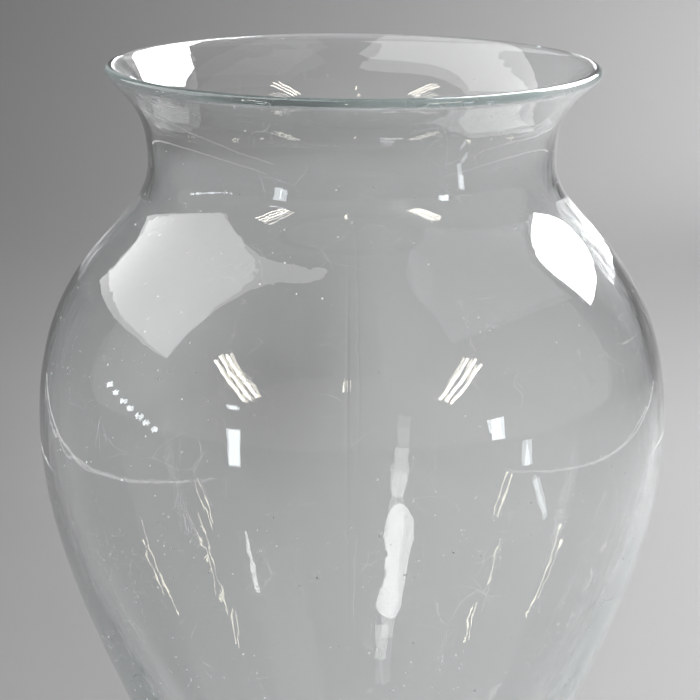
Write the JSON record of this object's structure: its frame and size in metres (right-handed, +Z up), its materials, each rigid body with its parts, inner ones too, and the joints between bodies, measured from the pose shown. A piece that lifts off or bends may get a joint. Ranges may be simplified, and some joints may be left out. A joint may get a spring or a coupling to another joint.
{
  "type": "flower vase",
  "caption": "Clear glass flower vase with a wide flared mouth and fire-polished lip, short neck, high broad shoulder and a body that tapers to a small round foot.",
  "frame": {"origin": "centre of the round foot, on the plane that the vase stands on", "axes": "+Z up along the vase's axis, out of the mouth; X and Y lie in the plane of the foot, and the two mould seams face -Y and +Y"},
  "size_m": [0.178, 0.178, 0.25],
  "materials": {
    "clear_glass": "clear polished glass with a faint blue-green tint in its thick edges"
  },
  "bodies": {
    "root": {"glass_vase": "clear_glass"}
  },
  "joints": []
}
